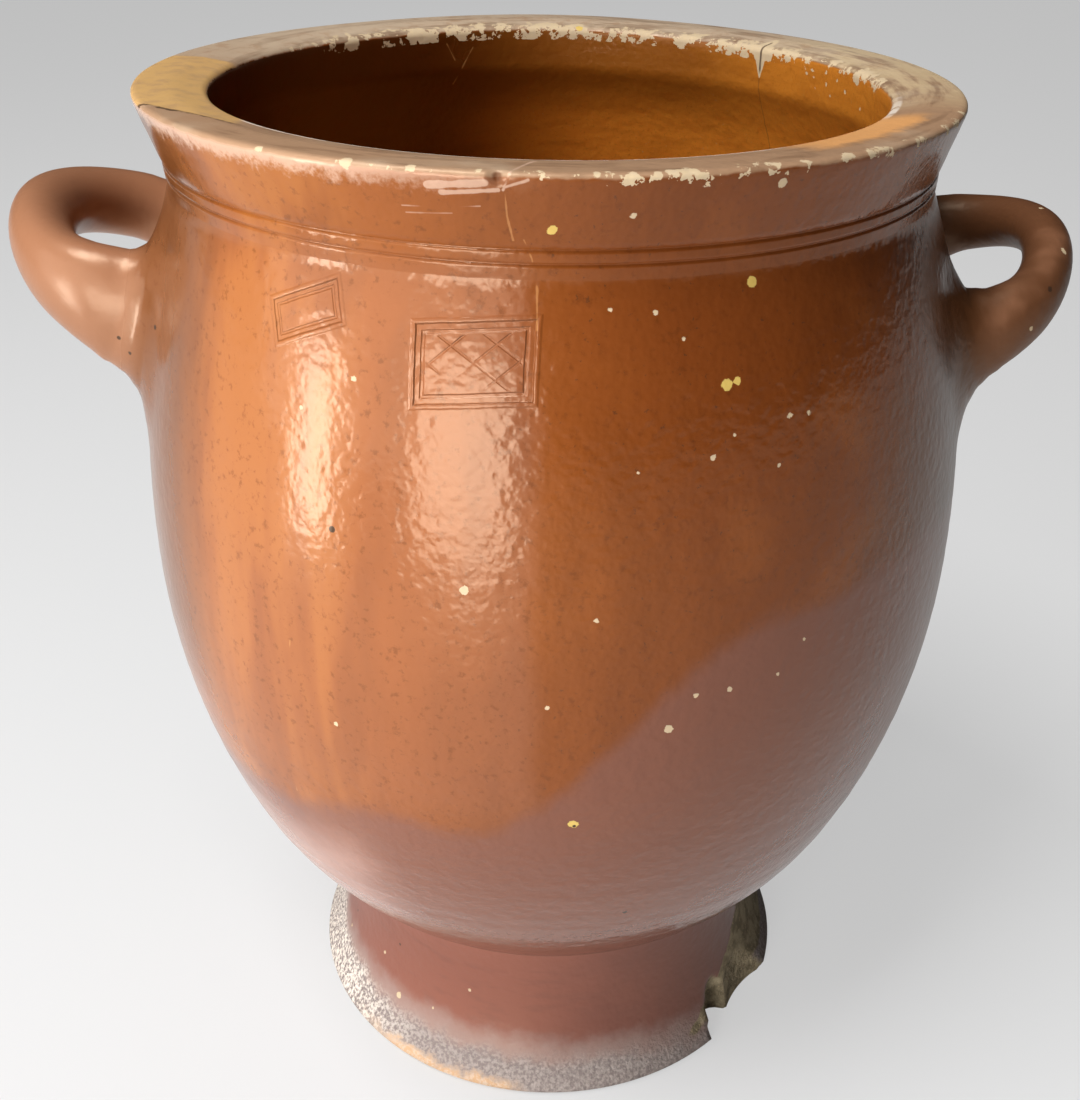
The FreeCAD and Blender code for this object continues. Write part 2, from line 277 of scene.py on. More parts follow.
def addHandle(name):
    bm = bmesh.new()
    loops = []
    for centre, along, sideways, upright, tall, wide in handlePath(handleForm[name]):
        turn = Matrix((sideways * wide, upright * tall, along)).transposed().to_4x4()
        ring = bmesh.ops.create_circle(bm, segments=handleForm["sides"], radius=1,
                                       matrix=Matrix.Translation(centre) @ turn)["verts"]
        loops.append(ring)
    for end in (loops[0], loops[-1]):
        for vert in end:
            reach = float(skinRadius(vert.co.z)) - handleForm["seat"]
            vert.co.x = math.copysign(math.sqrt(reach**2 - vert.co.y**2), vert.co.x)
    edges = [ringEdges(ring) for ring in loops]
    for first, second in zip(edges, edges[1:]):
        bmesh.ops.bridge_loops(bm, edges=first + second)
    bmesh.ops.contextual_create(bm, geom=edges[0])
    bmesh.ops.contextual_create(bm, geom=edges[-1])
    bmesh.ops.triangulate(bm, faces=[face for face in bm.faces if len(face.verts) > 4])
    bmesh.ops.scale(bm, vec=(mm, mm, mm), verts=bm.verts)
    bmesh.ops.recalc_face_normals(bm, faces=bm.faces)
    return meshObject(bm, f"{name}Handle")


def joinSolids(piece, others):
    # Fuses the handles into the pot's wall.
    for other in others:
        modifier = piece.modifiers.new("Join", "BOOLEAN")
        modifier.operation = "UNION"
        modifier.solver = "EXACT"
        modifier.object = other
    graph = bpy.context.evaluated_depsgraph_get()
    joined = bpy.data.meshes.new_from_object(piece.evaluated_get(graph))
    piece.modifiers.clear()
    piece.data = joined
    for other in others:
        bpy.data.objects.remove(other)


def readPoints(mesh):
    points = np.empty(len(mesh.vertices) * 3, np.float32)
    mesh.vertices.foreach_get("co", points)
    return points.reshape(-1, 3).astype(float)


def writePoints(mesh, points):
    mesh.vertices.foreach_set("co", points.astype(np.float32).ravel())
    mesh.update()


def handleDistance(points, rows):
    # Distance in millimetres from points to a handle's oval coil, negative inside.
    best = np.full(len(points), 1e6)
    for centre, along, sideways, upright, tall, wide in rows:
        offset = points - np.array(centre)
        lift = offset @ np.array(upright) / tall
        reach = offset @ np.array(sideways) / wide
        ahead = offset @ np.array(along)
        oval = (np.sqrt(lift**2 + reach**2 + 1e-9) - 1) * min(tall, wide)
        best = np.minimum(best, np.where(oval > 0, np.hypot(oval, ahead * 0.9), oval + abs(ahead) * 0.5))
    return best


def weldedDistance(points, rows):
    # Smooth union of the pot's skin and a handle, as clay pressed into the corner leaves it.
    skin = np.hypot(points[:, 0], points[:, 1]) - skinRadius(points[:, 2])
    coil = handleDistance(points, rows)
    weld = handleForm["weld"]
    overlap = np.maximum(weld - abs(skin - coil), 0) / weld
    return np.minimum(skin, coil) - overlap**2 * weld / 4, overlap


def weldHandles(piece):
    mesh = piece.data
    points = readPoints(mesh) / mm
    for name in ("right", "left"):
        form = handleForm[name]
        rows = handlePath(form)[::3]
        radius = np.hypot(points[:, 0], points[:, 1])
        near = (points[:, 0] * form["side"] > 110) & (abs(points[:, 1]) < 95)
        near &= (points[:, 2] > 325) & (points[:, 2] < 436) & (radius > skinRadius(points[:, 2]) - 4)
        chosen = np.nonzero(near)[0]
        for _ in range(3):
            local = points[chosen]
            value, overlap = weldedDistance(local, rows)
            slope = np.empty_like(local)
            for axis in range(3):
                step = np.zeros(3)
                step[axis] = 0.5
                slope[:, axis] = weldedDistance(local + step, rows)[0] - weldedDistance(local - step, rows)[0]
            slope /= np.linalg.norm(slope, axis=1, keepdims=True) + 1e-9
            move = np.clip(value, -6, 6) * np.clip(overlap * 4, 0, 1)
            points[chosen] = local - slope * move[:, None]
    writePoints(mesh, points * mm)


def relaxWelds(piece):
    # Evens out the small faces along the joints.
    bm = bmesh.new()
    bm.from_mesh(piece.data)
    joints = []
    for vert in bm.verts:
        out, level = abs(vert.co.x) / mm, vert.co.z / mm
        if 130 < out < 186 and 335 < level < 430 and 8 < abs(vert.co.y) / mm < 85:
            if math.hypot(vert.co.x, vert.co.y) / mm > float(skinRadius(level)) - 2:
                joints.append(vert)
    for _ in range(6):
        bmesh.ops.smooth_vert(bm, verts=joints, factor=0.4, use_axis_x=True, use_axis_y=True, use_axis_z=True)
    bm.to_mesh(piece.data)
    bm.free()


# What the throwing left and what use did to the form: angles in degrees from +X, sizes in millimetres.
wearForm = {
    "rimShift": -2.5, "rimTip": 0.5, "rimFrom": 380,
    "flakes": (
        {"angle": -31, "length": 36, "depth": 8.5, "thick": 20, "height": 62, "lean": 14, "rise": 0},
        {"angle": -41.5, "length": 11, "depth": 16, "thick": 15, "height": 34, "lean": 10, "rise": 0},
        {"angle": 0, "length": 44, "depth": 23.5, "thick": 15, "height": 27, "lean": 0, "rise": 61},
    ),
    "throwing": 0.15, "throwingFrom": (84, 92), "throwingFade": (150, 240),
    "backRise": 1.5, "backWidth": 0.5,
}


def smoothStep(low, high, values):
    # 0 at low, 1 at high, smooth between them; low may be the greater.
    part = np.clip((values - low) / (high - low), 0, 1)
    return part * part * (3 - 2 * part)


def breakFoot(points):
    # Pushes the foot's skin in to the shell-shaped breaks and returns how far it went.
    pushed = np.zeros(len(points))
    for flake in wearForm["flakes"]:
        angle, lean = math.radians(flake["angle"]), math.radians(flake["lean"])
        away = potForm["baseRadius"] - flake["depth"] + flake["thick"]
        centre = np.array((away * math.cos(angle), away * math.sin(angle), flake["rise"]))
        turn = Matrix.Rotation(angle, 3, "Z") @ Matrix.Rotation(-lean, 3, "Y")
        sizes = np.array((flake["thick"], flake["length"], flake["height"]))
        shrink = np.array(turn.transposed()) / sizes[:, None]
        flat = np.array((points[:, 0], points[:, 1], np.zeros(len(points)))).T
        radius = np.linalg.norm(flat, axis=1)
        outward = flat / (radius[:, None] + 1e-9)
        start = (np.array((np.zeros(len(points)), np.zeros(len(points)), points[:, 2])).T - centre) @ shrink.T
        way = outward @ shrink.T
        a = (way**2).sum(1)
        b = (start * way).sum(1)
        c = (start**2).sum(1) - 1
        root = b**2 - a * c
        a += 1e-9
        inside = root > 0
        reach = np.where(inside, (-b - np.sqrt(np.maximum(root, 0))) / a, 1e9)
        far = np.where(inside, (-b + np.sqrt(np.maximum(root, 0))) / a, -1)
        hit = inside & (radius > reach) & (radius < far) & (points[:, 2] < 77) & (reach > 90)
        moved = np.where(hit, radius - reach, 0)
        points -= outward * moved[:, None]
        pushed = np.maximum(pushed, moved)
    return pushed


def wearPot(piece):
    mesh = piece.data
    points = readPoints(mesh) / mm
    formPoints = points.copy()
    angle = np.arctan2(points[:, 1], points[:, 0])
    radius = np.hypot(points[:, 0], points[:, 1])
    reach = skinRadius(points[:, 2])
    inner = (radius < reach - 4) & (points[:, 2] > 10) & (points[:, 2] < potForm["height"] - 1.5)
    outside = ~inner & (radius < reach + 3) & (points[:, 2] < potForm["height"] - 1.5)
    broken = breakFoot(points)
    outward = np.array((np.cos(angle), np.sin(angle), np.zeros(len(points)))).T
    for level in potForm["grooves"]:
        cut = potForm["grooveDepth"] * np.exp(-(((points[:, 2] - level) / potForm["grooveWidth"]) ** 2))
        points -= outward * (cut * outside)[:, None]
    inward = smoothStep(potForm["mouthRadius"] + potForm["rimFallWidth"], potForm["mouthRadius"], radius)
    points[:, 2] -= potForm["rimFall"] * inward * (formPoints[:, 2] > potForm["height"] - 8)
    ridges = np.sin(points[:, 2] * 0.62 + 1.5 * np.sin(angle)) + 0.6 * np.sin(points[:, 2] * 1.13 + 2 * np.cos(angle))
    low = smoothStep(*wearForm["throwingFrom"], points[:, 2])
    low *= 1 - 0.75 * smoothStep(*wearForm["throwingFade"], points[:, 2])
    swell = ridges * wearForm["throwing"] * low * outside
    points += outward * swell[:, None]
    high = smoothStep(wearForm["rimFrom"], potForm["height"], points[:, 2])
    points[:, 0] += wearForm["rimShift"] * high
    points[:, 2] -= points[:, 0] * math.tan(math.radians(wearForm["rimTip"])) * high
    back = np.exp(-(((angle - math.pi / 2) / wearForm["backWidth"]) ** 2))
    points[:, 2] += wearForm["backRise"] * back * high
    writePoints(mesh, points * mm)
    store(mesh, "formPlace", formPoints * mm)
    store(mesh, "broken", smoothStep(0.1, 0.9, broken))
    store(mesh, "inner", inner.astype(float))
    store(mesh, "coil", smoothStep(3, 14, radius - reach) * (points[:, 2] < 440))


def store(mesh, name, values):
    kind = "FLOAT" if values.ndim == 1 else "FLOAT_VECTOR"
    layer = mesh.attributes.new(name, kind, "POINT")
    layer.data.foreach_set("value" if values.ndim == 1 else "vector", values.astype(np.float32).ravel())


def addPot():
    pot = addPotBody()
    print("pot body", len(pot.data.vertices))
    joinSolids(pot, [addHandle("right"), addHandle("left")])
    print("handles joined", len(pot.data.vertices))
    weldHandles(pot)
    relaxWelds(pot)
    wearPot(pot)
    for polygon in pot.data.polygons:
        polygon.use_smooth = True
    pot.name = "confitPot"
    print("pot worn", len(pot.data.polygons))
    return pot


pot = addPot()
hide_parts("confit_pot")
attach(pot, "root")
caster = BVHTree.FromPolygons([vert.co for vert in pot.data.vertices],
                              [polygon.vertices for polygon in pot.data.polygons])


def surfacePoint(across, down):
    # The place on the pot that a pixel of the photo shows.
    start, way = photoRay(across, down)
    place, normal, _, _ = caster.ray_cast(start, way)
    if place is None:
        print("missed the pot at", across, down)
        place, normal, _, _ = caster.find_nearest(start + way * 0.66)
    return place, normal


class Wire:
    # A socket that takes part in sums, each of which makes a node.
    def __init__(self, finish, socket):
        self.finish = finish
        self.socket = socket

    def output(self, name):
        return Wire(self.finish, self.socket.node.outputs[name])

    def math(self, operation, *values):
        return self.finish.node("Math", {"operation": operation}, {0: self, **dict(enumerate(values, 1))})

    def swapped(self, operation, value):
        return self.finish.node("Math", {"operation": operation}, {0: value, 1: self})

    def __add__(self, other):
        return self.math("ADD", other)

    def __radd__(self, other):
        return self.swapped("ADD", other)

    def __sub__(self, other):
        return self.math("SUBTRACT", other)

    def __rsub__(self, other):
        return self.swapped("SUBTRACT", other)

    def __mul__(self, other):
        return self.math("MULTIPLY", other)

    def __rmul__(self, other):
        return self.swapped("MULTIPLY", other)

    def __truediv__(self, other):
        return self.math("DIVIDE", other)

    def __abs__(self):
        return self.math("ABSOLUTE")

    def most(self, other):
        return self.math("MAXIMUM", other)

    def least(self, other):
        return self.math("MINIMUM", other)

    def between(self, low, high):
        # 0 at low, 1 at high, smooth between them; low may be the greater.
        settings = {"interpolation_type": "SMOOTHSTEP"}
        return self.finish.node("MapRange", settings, {"Value": self, "From Min": low, "From Max": high})


class Finish:
    def __init__(self, name):
        self.material = bpy.data.materials.new(name)
        self.material.use_nodes = True
        self.tree = self.material.node_tree
        self.shader = self.tree.nodes["Principled BSDF"]

    def node(self, kind, settings, sockets, output=0):
        made = self.tree.nodes.new("ShaderNode" + kind)
        for name, value in settings.items():
            setattr(made, name, value)
        for name, value in sockets.items():
            self.feed(made.inputs[name], value)
        return Wire(self, made.outputs[output])

    def feed(self, socket, value):
        if isinstance(value, Wire):
            self.tree.links.new(value.socket, socket)
        else:
            socket.default_value = value

    def attribute(self, name):
        return self.node("Attribute", {"attribute_name": name}, {}, output=2)

    def mix(self, factor, first, second):
        made = self.tree.nodes.new("ShaderNodeMix")
        made.data_type = "RGBA"
        self.feed(made.inputs[0], factor)
        for socket, value in ((made.inputs[6], first), (made.inputs[7], second)):
            self.feed(socket, value if isinstance(value, Wire) else (*value, 1))
        return Wire(self, made.outputs[2])

    def noise(self, place, size, detail=2.0, roughness=0.5, stretch=None):
        if stretch:
            place = self.node("VectorMath", {"operation": "MULTIPLY"}, {0: place, 1: stretch})
        return self.node("TexNoise", {}, {"Vector": place, "Scale": 1 / (size * mm), "Detail": detail,
                                          "Roughness": roughness})


# Colours of the fired clay and its glaze, and of the light, shade and reflections painted on it.
glazeColours = {
    "amber": (0.30, 0.086, 0.017),
    "brown": (0.175, 0.043, 0.008),
    "goldSheen": (0.50, 0.190, 0.040),
    "deep": (0.10, 0.026, 0.006),
    "olive": (0.080, 0.036, 0.014),
    "mauve": (0.185, 0.072, 0.050),
    "mauveReflection": (0.46, 0.260, 0.205),
    "handle": (0.34, 0.155, 0.082),
    "handleDark": (0.135, 0.052, 0.022),
    "footPink": (0.23, 0.080, 0.055),
    "footDark": (0.155, 0.058, 0.044),
    "iron": (0.05, 0.025, 0.014),
    # Inside: bright colours that stand in for the light reaching the inner wall, and painted shade for its top band
    # and its left side.
    "inside": (0.80, 0.280, 0.030),
    "insideDark": (0.52, 0.160, 0.016),
    "insideTopShade": (0.17, 0.045, 0.004),
    "insideShade": (0.06, 0.012, 0.001),
    "rimBrown": (0.38, 0.225, 0.130),
    "rimGrey": (0.55, 0.425, 0.300),
    "rimOchre": (0.62, 0.37, 0.14),
    "rimDark": (0.19, 0.100, 0.052),
    "rimOrange": (0.74, 0.36, 0.13),
    "rimPinkWearAndHighlight": (0.66, 0.44, 0.32),
    "rimHighlight": (0.90, 0.80, 0.68),
    "chip": (0.64, 0.49, 0.28),
    "chipYellow": (0.66, 0.46, 0.12),
    "ash": (0.74, 0.66, 0.58),
    "ashGrey": (0.22, 0.180, 0.170),
    "clay": (0.58, 0.34, 0.17),
    "break": (0.37, 0.30, 0.19),
    "breakDark": (0.19, 0.150, 0.090),
}

# Marks on the skin: places in the photo, and radii in millimetres.
paleChips = [
    (464, 590, 1.7), (655, 312, 1.0), (684, 339, 0.7), (735, 435, 0.8), (790, 415, 0.9), (809, 412, 1.0),
    (713, 458, 0.7), (779, 465, 0.7), (638, 473, 0.6), (610, 310, 0.6), (596, 621, 0.8), (696, 696, 1.0),
    (730, 689, 1.1), (669, 729, 1.5), (547, 708, 0.6), (804, 639, 0.8), (778, 674, 0.7), (336, 724, 0.9),
    (301, 407, 0.8), (354, 378, 0.7), (782, 183, 1.5), (634, 215, 0.8), (1064, 251, 1.4), (1041, 208, 1.2),
    (1031, 328, 1.1), (399, 995, 1.6), (433, 1008, 0.8), (470, 990, 0.6), (385, 952, 0.6), (352, 925, 0.7),
    (346, 161, 2.2), (411, 167, 1.6), (479, 170, 1.2), (597, 174, 1.3), (658, 175, 1.7),
    (807, 73, 0.6), (814, 77, 0.5), (826, 84, 0.6), (837, 81, 0.6), (830, 96, 0.5), (860, 109, 0.7),
    (815, 88, 0.4), (845, 92, 0.5),
]

yellowChips = [
    (752, 281, 1.8), (727, 385, 1.9), (737, 381, 1.2), (573, 824, 2.0), (552, 230, 1.5), (579, 28, 1.8),
]

darkPits = [
    (332, 529, 1.3), (574, 826, 0.7), (119, 338, 0.9), (155, 327, 1.1), (130, 353, 0.8), (1050, 289, 1.2),
    (733, 960, 0.9), (729, 965, 0.6), (400, 944, 0.7), (605, 941, 0.8), (625, 912, 1.0), (358, 910, 0.7),
]

# Fine cracks: places in the photo.
cracks = [
    [(505, 194), (507, 216), (513, 240)],
    [(524, 240), (532, 259), (537, 289), (537, 330)],
    [(290, 640), (297, 790)],
    [(473, 47), (463, 66), (453, 84)],
    [(447, 44), (455, 60)],
]

# Folds of clay beside the dent in the collar: a line in the photo, and its radius in millimetres.
folds = [
    ((427, 184), (484, 183), 2.0), ((441, 192), (498, 190), 1.4), ((503, 190), (509, 174), 1.1),
    ((509, 174), (536, 161), 1.2), ((505, 187), (528, 180), 1.1), ((402, 205), (480, 206), 0.7),
    ((406, 212), (452, 213), 0.6),
]

pinch = {"pixel": (497, 176), "size": 4.2, "depth": 1.6}

# Stamped frames: corners in the photo from the upper left clockwise, and the motif inside.
stamps = [
    {"corners": ((412, 318), (533, 326), (536, 408), (418, 398)), "line": 0.55, "inset": 2.6, "motif": True},
    {"corners": ((272, 296), (334, 284), (346, 330), (279, 331)), "line": 0.45, "inset": 2.0, "motif": False},
]

notch = {"angle": 43.5, "depth": 17, "slope": 3.2}


class Where:
    # Places in millimetres and noises, which the masks of the glaze share.
    def __init__(self, finish):
        self.finish = finish
        self.place = finish.node("TexCoord", {}, {}, output=3)
        self.placeMm = finish.node("VectorMath", {"operation": "SCALE"}, {0: self.place, "Scale": 1 / mm})
        form = finish.node("Attribute", {"attribute_name": "formPlace"}, {}, output=1)
        parts = finish.node("SeparateXYZ", {}, {0: form})
        self.x, self.y, self.height = (parts.output(index) / mm for index in range(3))
        self.radius = (self.x * self.x + self.y * self.y).math("SQRT")
        self.broad = finish.noise(self.place, 130, 1)
        self.middle = finish.noise(self.place, 38, 3)
        self.fine = finish.noise(self.place, 8, 3, 0.6)
        self.grain = finish.noise(self.place, 1.8, 3, 0.6)
        self.side = finish.node("CombineXYZ", {}, {0: self.x / self.radius, 1: self.y / self.radius})
        turned = finish.node("VectorMath", {"operation": "SCALE"}, {0: self.side, "Scale": 22 * mm})
        along = finish.node("CombineXYZ", {}, {2: (self.radius + self.height) * mm})
        turned = finish.node("VectorMath", {"operation": "ADD"}, {0: turned, 1: along})
        self.turned = finish.noise(turned, 5, 3, 0.6)
        self.inner = finish.attribute("inner")
        self.outside = 1 - self.inner
        self.broken = finish.attribute("broken")
        self.coil = finish.attribute("coil")

    def facing(self, angle):
        # Cosine of the angle between a point's side of the pot and a given side.
        turn = math.radians(angle)
        return self.finish.node("VectorMath", {"operation": "DOT_PRODUCT"},
                                {0: self.side, 1: (math.cos(turn), math.sin(turn), 0)}, output=1)

    def beside(self, angle):
        # Distance along the ring from a given side of the pot.
        turn = math.radians(angle)
        return self.y * math.cos(turn) - self.x * math.sin(turn)

    def away(self, place):
        # Distance from a place on the pot.
        return self.finish.node("VectorMath", {"operation": "DISTANCE"}, {0: self.placeMm, 1: place / mm}, output=1)


def spots(where, places, ragged):
    # Marks with ragged edges, as a mask. Those of one size share their sum.
    mask = None
    for size in sorted({place[2] for place in places}):
        nearest = None
        for across, down, _ in (place for place in places if place[2] == size):
            far = where.away(surfacePoint(across, down)[0])
            nearest = far if nearest is None else nearest.least(far)
        mask = size - nearest if mask is None else mask.most(size - nearest)
    return (mask + (where.fine - 0.5) * ragged + (where.grain - 0.5) * ragged * 1.6).between(-0.15, 0.15)


def lineDistance(where, start, end):
    # Distance in millimetres from the line between two places.
    finish = where.finish
    along = end - start
    offset = finish.node("VectorMath", {"operation": "SUBTRACT"}, {0: where.place, 1: start})
    part = finish.node("VectorMath", {"operation": "DOT_PRODUCT"},
                       {0: offset, 1: along / along.length_squared}, output=1)
    part = part.most(0).least(1)
    foot = finish.node("VectorMath", {"operation": "SCALE"}, {0: along, "Scale": part})
    return finish.node("VectorMath", {"operation": "DISTANCE"}, {0: offset, 1: foot}, output=1) / mm


def crackLines(where):
    mask = None
    for crack in cracks:
        places = [surfacePoint(*pixel)[0] for pixel in crack]
        for start, end in zip(places, places[1:]):
            near = 0.25 + (where.fine - 0.5) * 1.2 - lineDistance(where, start, end)
            mask = near if mask is None else mask.most(near)
    return mask.between(-0.2, 0.2)


def foldMarks(where):
    # Painted highlights along the ridges of clay that the dent in the collar raised, and the dark of the pinch.
    relief = None
    for start, end, size in folds:
        far = lineDistance(where, surfacePoint(*start)[0], surfacePoint(*end)[0]) / size
        ridge = (1 - far + (where.fine - 0.5) * 0.9).most(0).least(1)
        ridge = ridge * ridge * (3 - 2 * ridge) * size
        relief = ridge if relief is None else relief.most(ridge)
    return relief.between(0.25, 0.9), pinchPit(where).between(0.5, 0.9)


def pinchPit(where):
    return where.away(surfacePoint(*pinch["pixel"])[0]).between(pinch["size"], 0)


def stampRelief(where, stamp):
    # Depth in millimetres of a stamped frame: a sunk field with a fine inner line.
    finish = where.finish
    corners = [surfacePoint(*pixel)[0] for pixel in stamp["corners"]]
    upperLeft, upperRight, lowerRight, lowerLeft = corners
    middle = (upperLeft + upperRight + lowerRight + lowerLeft) / 4
    right = (upperRight - upperLeft + lowerRight - lowerLeft).normalized()
    up = (upperLeft - lowerLeft + upperRight - lowerRight).normalized()
    wide = (upperRight - upperLeft + lowerRight - lowerLeft).length / 4 / mm
    tall = (upperLeft - lowerLeft + upperRight - lowerRight).length / 4 / mm
    offset = finish.node("VectorMath", {"operation": "SUBTRACT"}, {0: where.place, 1: middle})
    across, rise, away = (
        finish.node("VectorMath", {"operation": "DOT_PRODUCT"}, {0: offset, 1: axis}, output=1) / mm
        for axis in (right, up, right.cross(up)))
    wobble = (where.fine - 0.5) * 0.8
    field = (abs(across) - wide).most(abs(rise) - tall) + wobble
    near = abs(away).between(14, 12)
    sunk = field.between(0.35, -0.35) * 0.55
    line = abs(field + stamp["inset"]).between(stamp["line"] * 1.6, stamp["line"] * 0.5) * 0.35
    rim = abs(field - 0.9).between(1.2, 0.2) * 0.22
    depth = sunk + line - rim
    if stamp["motif"]:
        depth = depth + lozenges(across, rise, field) * where.middle.between(0.35, 0.6) * 0.35
    return depth * near


def lozenges(across, rise, field):
    # A plain row-and-column pattern of outlined lozenges, as a mask.
    cell, slant = 7.6, 1.3
    one = ((across + rise * slant) / cell).math("PINGPONG", 1)
    other = ((across - rise * slant) / cell).math("PINGPONG", 1)
    lines = one.between(0.12, 0.03).most(other.between(0.12, 0.03))
    return lines * field.between(-3.6, -4.4)


def bodyColour(where):
    # Amber on the left, browner to the right and olive at the far right: random tone, and painted shade on the side
    # away from the lamps.
    finish, colours = where.finish, glazeColours
    runs = finish.noise(where.place, 24, 3, 0.55, stretch=(1, 1, 0.14))
    mottle = finish.noise(where.place, 3.2, 4, 0.65)
    # Painted shade: darker and browner towards the right, away from the lamps, with random tone along the boundary.
    right = (where.x + (where.broad - 0.5) * 120).between(-95, 75)
    colour = finish.mix(right, colours["amber"], colours["brown"])
    colour = finish.mix(runs.between(0.46, 0.66) * 0.22, colour, colours["deep"])
    colour = finish.mix(where.middle.between(0.52, 0.75) * 0.35, colour, colours["amber"])
    colour = finish.mix((where.x + (where.middle - 0.5) * 50).between(105, 175) * 0.75, colour, colours["olive"])
    # Painted sheen: a golden upright band on the left front, where a window's reflection falls.
    goldSheen = where.facing(-128).between(0.955, 0.99) * (where.height + (where.middle - 0.5) * 120).between(90, 200)
    colour = finish.mix(goldSheen * runs.between(0.66, 0.40) * 0.28, colour, colours["goldSheen"])
    # Painted reflection: a pale pinkish sheen over the left of the front, with an upright edge near the middle.
    paintedSheen = (where.x + (where.middle - 0.5) * 12).between(-1, -12) * where.y.between(0, -20)
    paintedSheen = paintedSheen * (where.height + (where.broad - 0.5) * 120).between(195, 270) * where.height.between(446, 430)
    colour = finish.mix(paintedSheen * 0.10, colour, colours["mauveReflection"])
    # Painted reflection: darker low on the middle and right of the body, where the glaze reflects dark surroundings.
    colour = finish.mix(where.height.between(250, 170) * where.x.between(-110, -20) * 0.6, colour, colours["deep"])
    left = where.facing(-168).between(0.82, 0.95) * (where.height + (where.middle - 0.5) * 60).between(200, 280)
    colour = finish.mix(left * 0.6, colour, colours["olive"])
    colour = finish.mix(mottle.between(0.54, 0.70) * 0.4, colour, colours["deep"])
    dots = finish.noise(where.place, 1.9, 2, 0.6).between(0.66, 0.74)
    dots = dots * (where.x + (where.broad - 0.5) * 120).between(-60, 40)
    return finish.mix(dots * 0.55, colour, colours["iron"])


def lowerColour(where, colour):
    # The mauve low on the body, partly the glaze's own flashing and partly a painted reflection of the floor, a paler
    # painted reflection low on the left, and the pink foot.
    finish, colours = where.finish, glazeColours
    border = where.x.between(-35, 85) * 95 - where.x.between(-70, -130) * 18
    edge = where.height - border + (where.middle - 0.5) * 20 + (where.fine - 0.5) * 5
    # Mauve low on the body: the glaze's own flashing, and partly a painted reflection of the floor.
    colour = finish.mix(edge.between(224, 210) * 0.8, colour, colours["mauve"])
    # Painted reflection of the floor, paler, low on the left.
    pale = edge.between(216, 165) * (where.x + (where.middle - 0.5) * 50).between(-55, -105)
    colour = finish.mix(pale * 0.8, colour, colours["mauveReflection"])
    foot = (where.height + (where.turned - 0.5) * 3).between(84, 79)
    pink = finish.mix((where.x + (where.middle - 0.5) * 80).between(-30, 90), colours["footPink"],
                      colours["footDark"])
    pink = finish.mix(where.turned.between(0.5, 0.7) * 0.3, pink, colours["footDark"])
    return finish.mix(foot, colour, pink), foot


def insideColour(where):
    finish, colours = where.finish, glazeColours
    rings = where.turned.between(0.45, 0.65)
    specks = finish.noise(where.place, 1.6, 3, 0.7)
    colour = finish.mix(rings * 0.4, colours["inside"], colours["insideDark"])
    colour = finish.mix(specks.between(0.55, 0.68) * 0.5, colour, colours["insideDark"])
    colour = finish.mix(specks.between(0.36, 0.28) * 0.6, colour, colours["rimOchre"])
    # Painted shade on the top band of the inner wall, less on the right; below it, the bright colour stands in for
    # the light reaching down inside.
    top = where.height.between(415, 445) * (0.82 - where.x.between(60, 120) * 0.42)
    colour = finish.mix(top, colour, colours["insideTopShade"])
    # Painted shade on the inner left wall, which faces away from the lamps.
    colour = finish.mix(where.x.between(40, -70) * 0.95, colour, colours["insideShade"])
    crack = abs(where.beside(notch["angle"]) + (where.fine - 0.5) * 2).between(0.45, 0.1)
    crack = crack * where.facing(notch["angle"]).between(0.5, 0.9) * where.height.between(405, 420)
    return finish.mix(crack * 0.4, colour, colours["iron"])


def rimColour(where):
    finish, colours = where.finish, glazeColours
    back = where.y.between(-60, 90)
    colour = finish.mix(back * 0.8, colours["rimBrown"], colours["rimGrey"])
    streaks = finish.noise(where.place, 7, 4, 0.7)
    colour = finish.mix(where.turned.between(0.48, 0.64) * 0.5, colour, colours["rimDark"])
    colour = finish.mix(streaks.between(0.5, 0.66) * 0.55, colour, colours["rimBrown"])
    colour = finish.mix(where.middle.between(0.5, 0.72) * 0.5, colour, colours["rimGrey"])
    pale = where.facing(12).between(0.80, 0.98) * where.turned.between(0.66, 0.4)
    colour = finish.mix(pale * 0.6, colour, colours["chip"])
    # Painted highlight along the rounded inner edge of the rim at the front.
    innerEdgeHighlight = where.radius.between(141.5, 140.5) * where.facing(-90).between(0.05, 0.4)
    colour = finish.mix(innerEdgeHighlight * where.fine.between(0.3, 0.5) * 0.75, colour, colours["rimHighlight"])
    edge = where.radius.between(145, 139) * where.facing(75).between(0.1, 0.5)
    colour = finish.mix(edge * where.fine.between(0.35, 0.6) * 0.6, colour, colours["rimDark"])
    orange = where.facing(-41).between(0.955, 0.985) * (where.radius + (where.fine - 0.5) * 8).between(158, 152)
    colour = finish.mix(orange, colour, colours["rimOrange"])
    # The bare ochre patch on the left, with a ragged dark border at its front.
    front = where.y + where.x * 0.72 + (where.fine - 0.5) * 7
    ochre = front.between(-181, -179) * (where.y + (where.fine - 0.5) * 4).between(28, 25)
    ochre = ochre * where.x.between(-105, -110)
    patch = finish.mix(where.fine.between(0.4, 0.7) * 0.5, colours["rimOchre"], colours["rimBrown"])
    colour = finish.mix(ochre, colour, patch)
    border = abs(front + 180).between(1.6, 0.5) * where.fine.between(0.35, 0.5)
    border = border * where.x.between(-105, -110)
    return finish.mix(border * 0.85, colour, colours["iron"])


def notchLine(where):
    # The dark line through the notch in the inner edge, as a mask.
    line = abs(where.beside(notch["angle"]) + (where.fine - 0.5)).between(0.75, 0.3)
    return line * where.facing(notch["angle"]).between(0.5, 0.9) * where.radius.between(146, 144)


